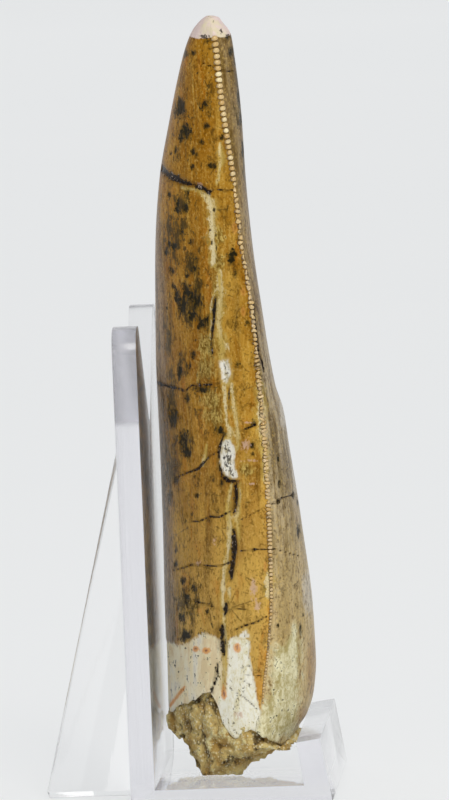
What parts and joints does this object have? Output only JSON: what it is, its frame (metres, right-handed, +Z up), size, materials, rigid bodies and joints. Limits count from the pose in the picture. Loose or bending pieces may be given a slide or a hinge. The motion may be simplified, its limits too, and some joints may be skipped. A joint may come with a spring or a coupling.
{
  "type": "fossil dinosaur tooth on a clear easel",
  "caption": "Serrated blade-like fossil tooth with a broken, matrix-filled root, standing root down on a small clear acrylic easel with a forked back.",
  "frame": {"origin": "centre of the flat underside of the easel's ledge, on the surface it stands on", "axes": "+X from the back panel towards the lip, +Z up along the tooth, -Y towards the viewer of the serrated near edge"},
  "size_m": [0.0368, 0.04, 0.0983],
  "materials": {
    "fossil_tooth": "glossy golden-brown fossil enamel, cream dentine and rough olive matrix at the root",
    "clear_acrylic": "clear, polished"
  },
  "bodies": {
    "root": {"tooth": "fossil_tooth", "easel_sheet": "clear_acrylic", "easel_fin": "clear_acrylic"}
  },
  "joints": []
}
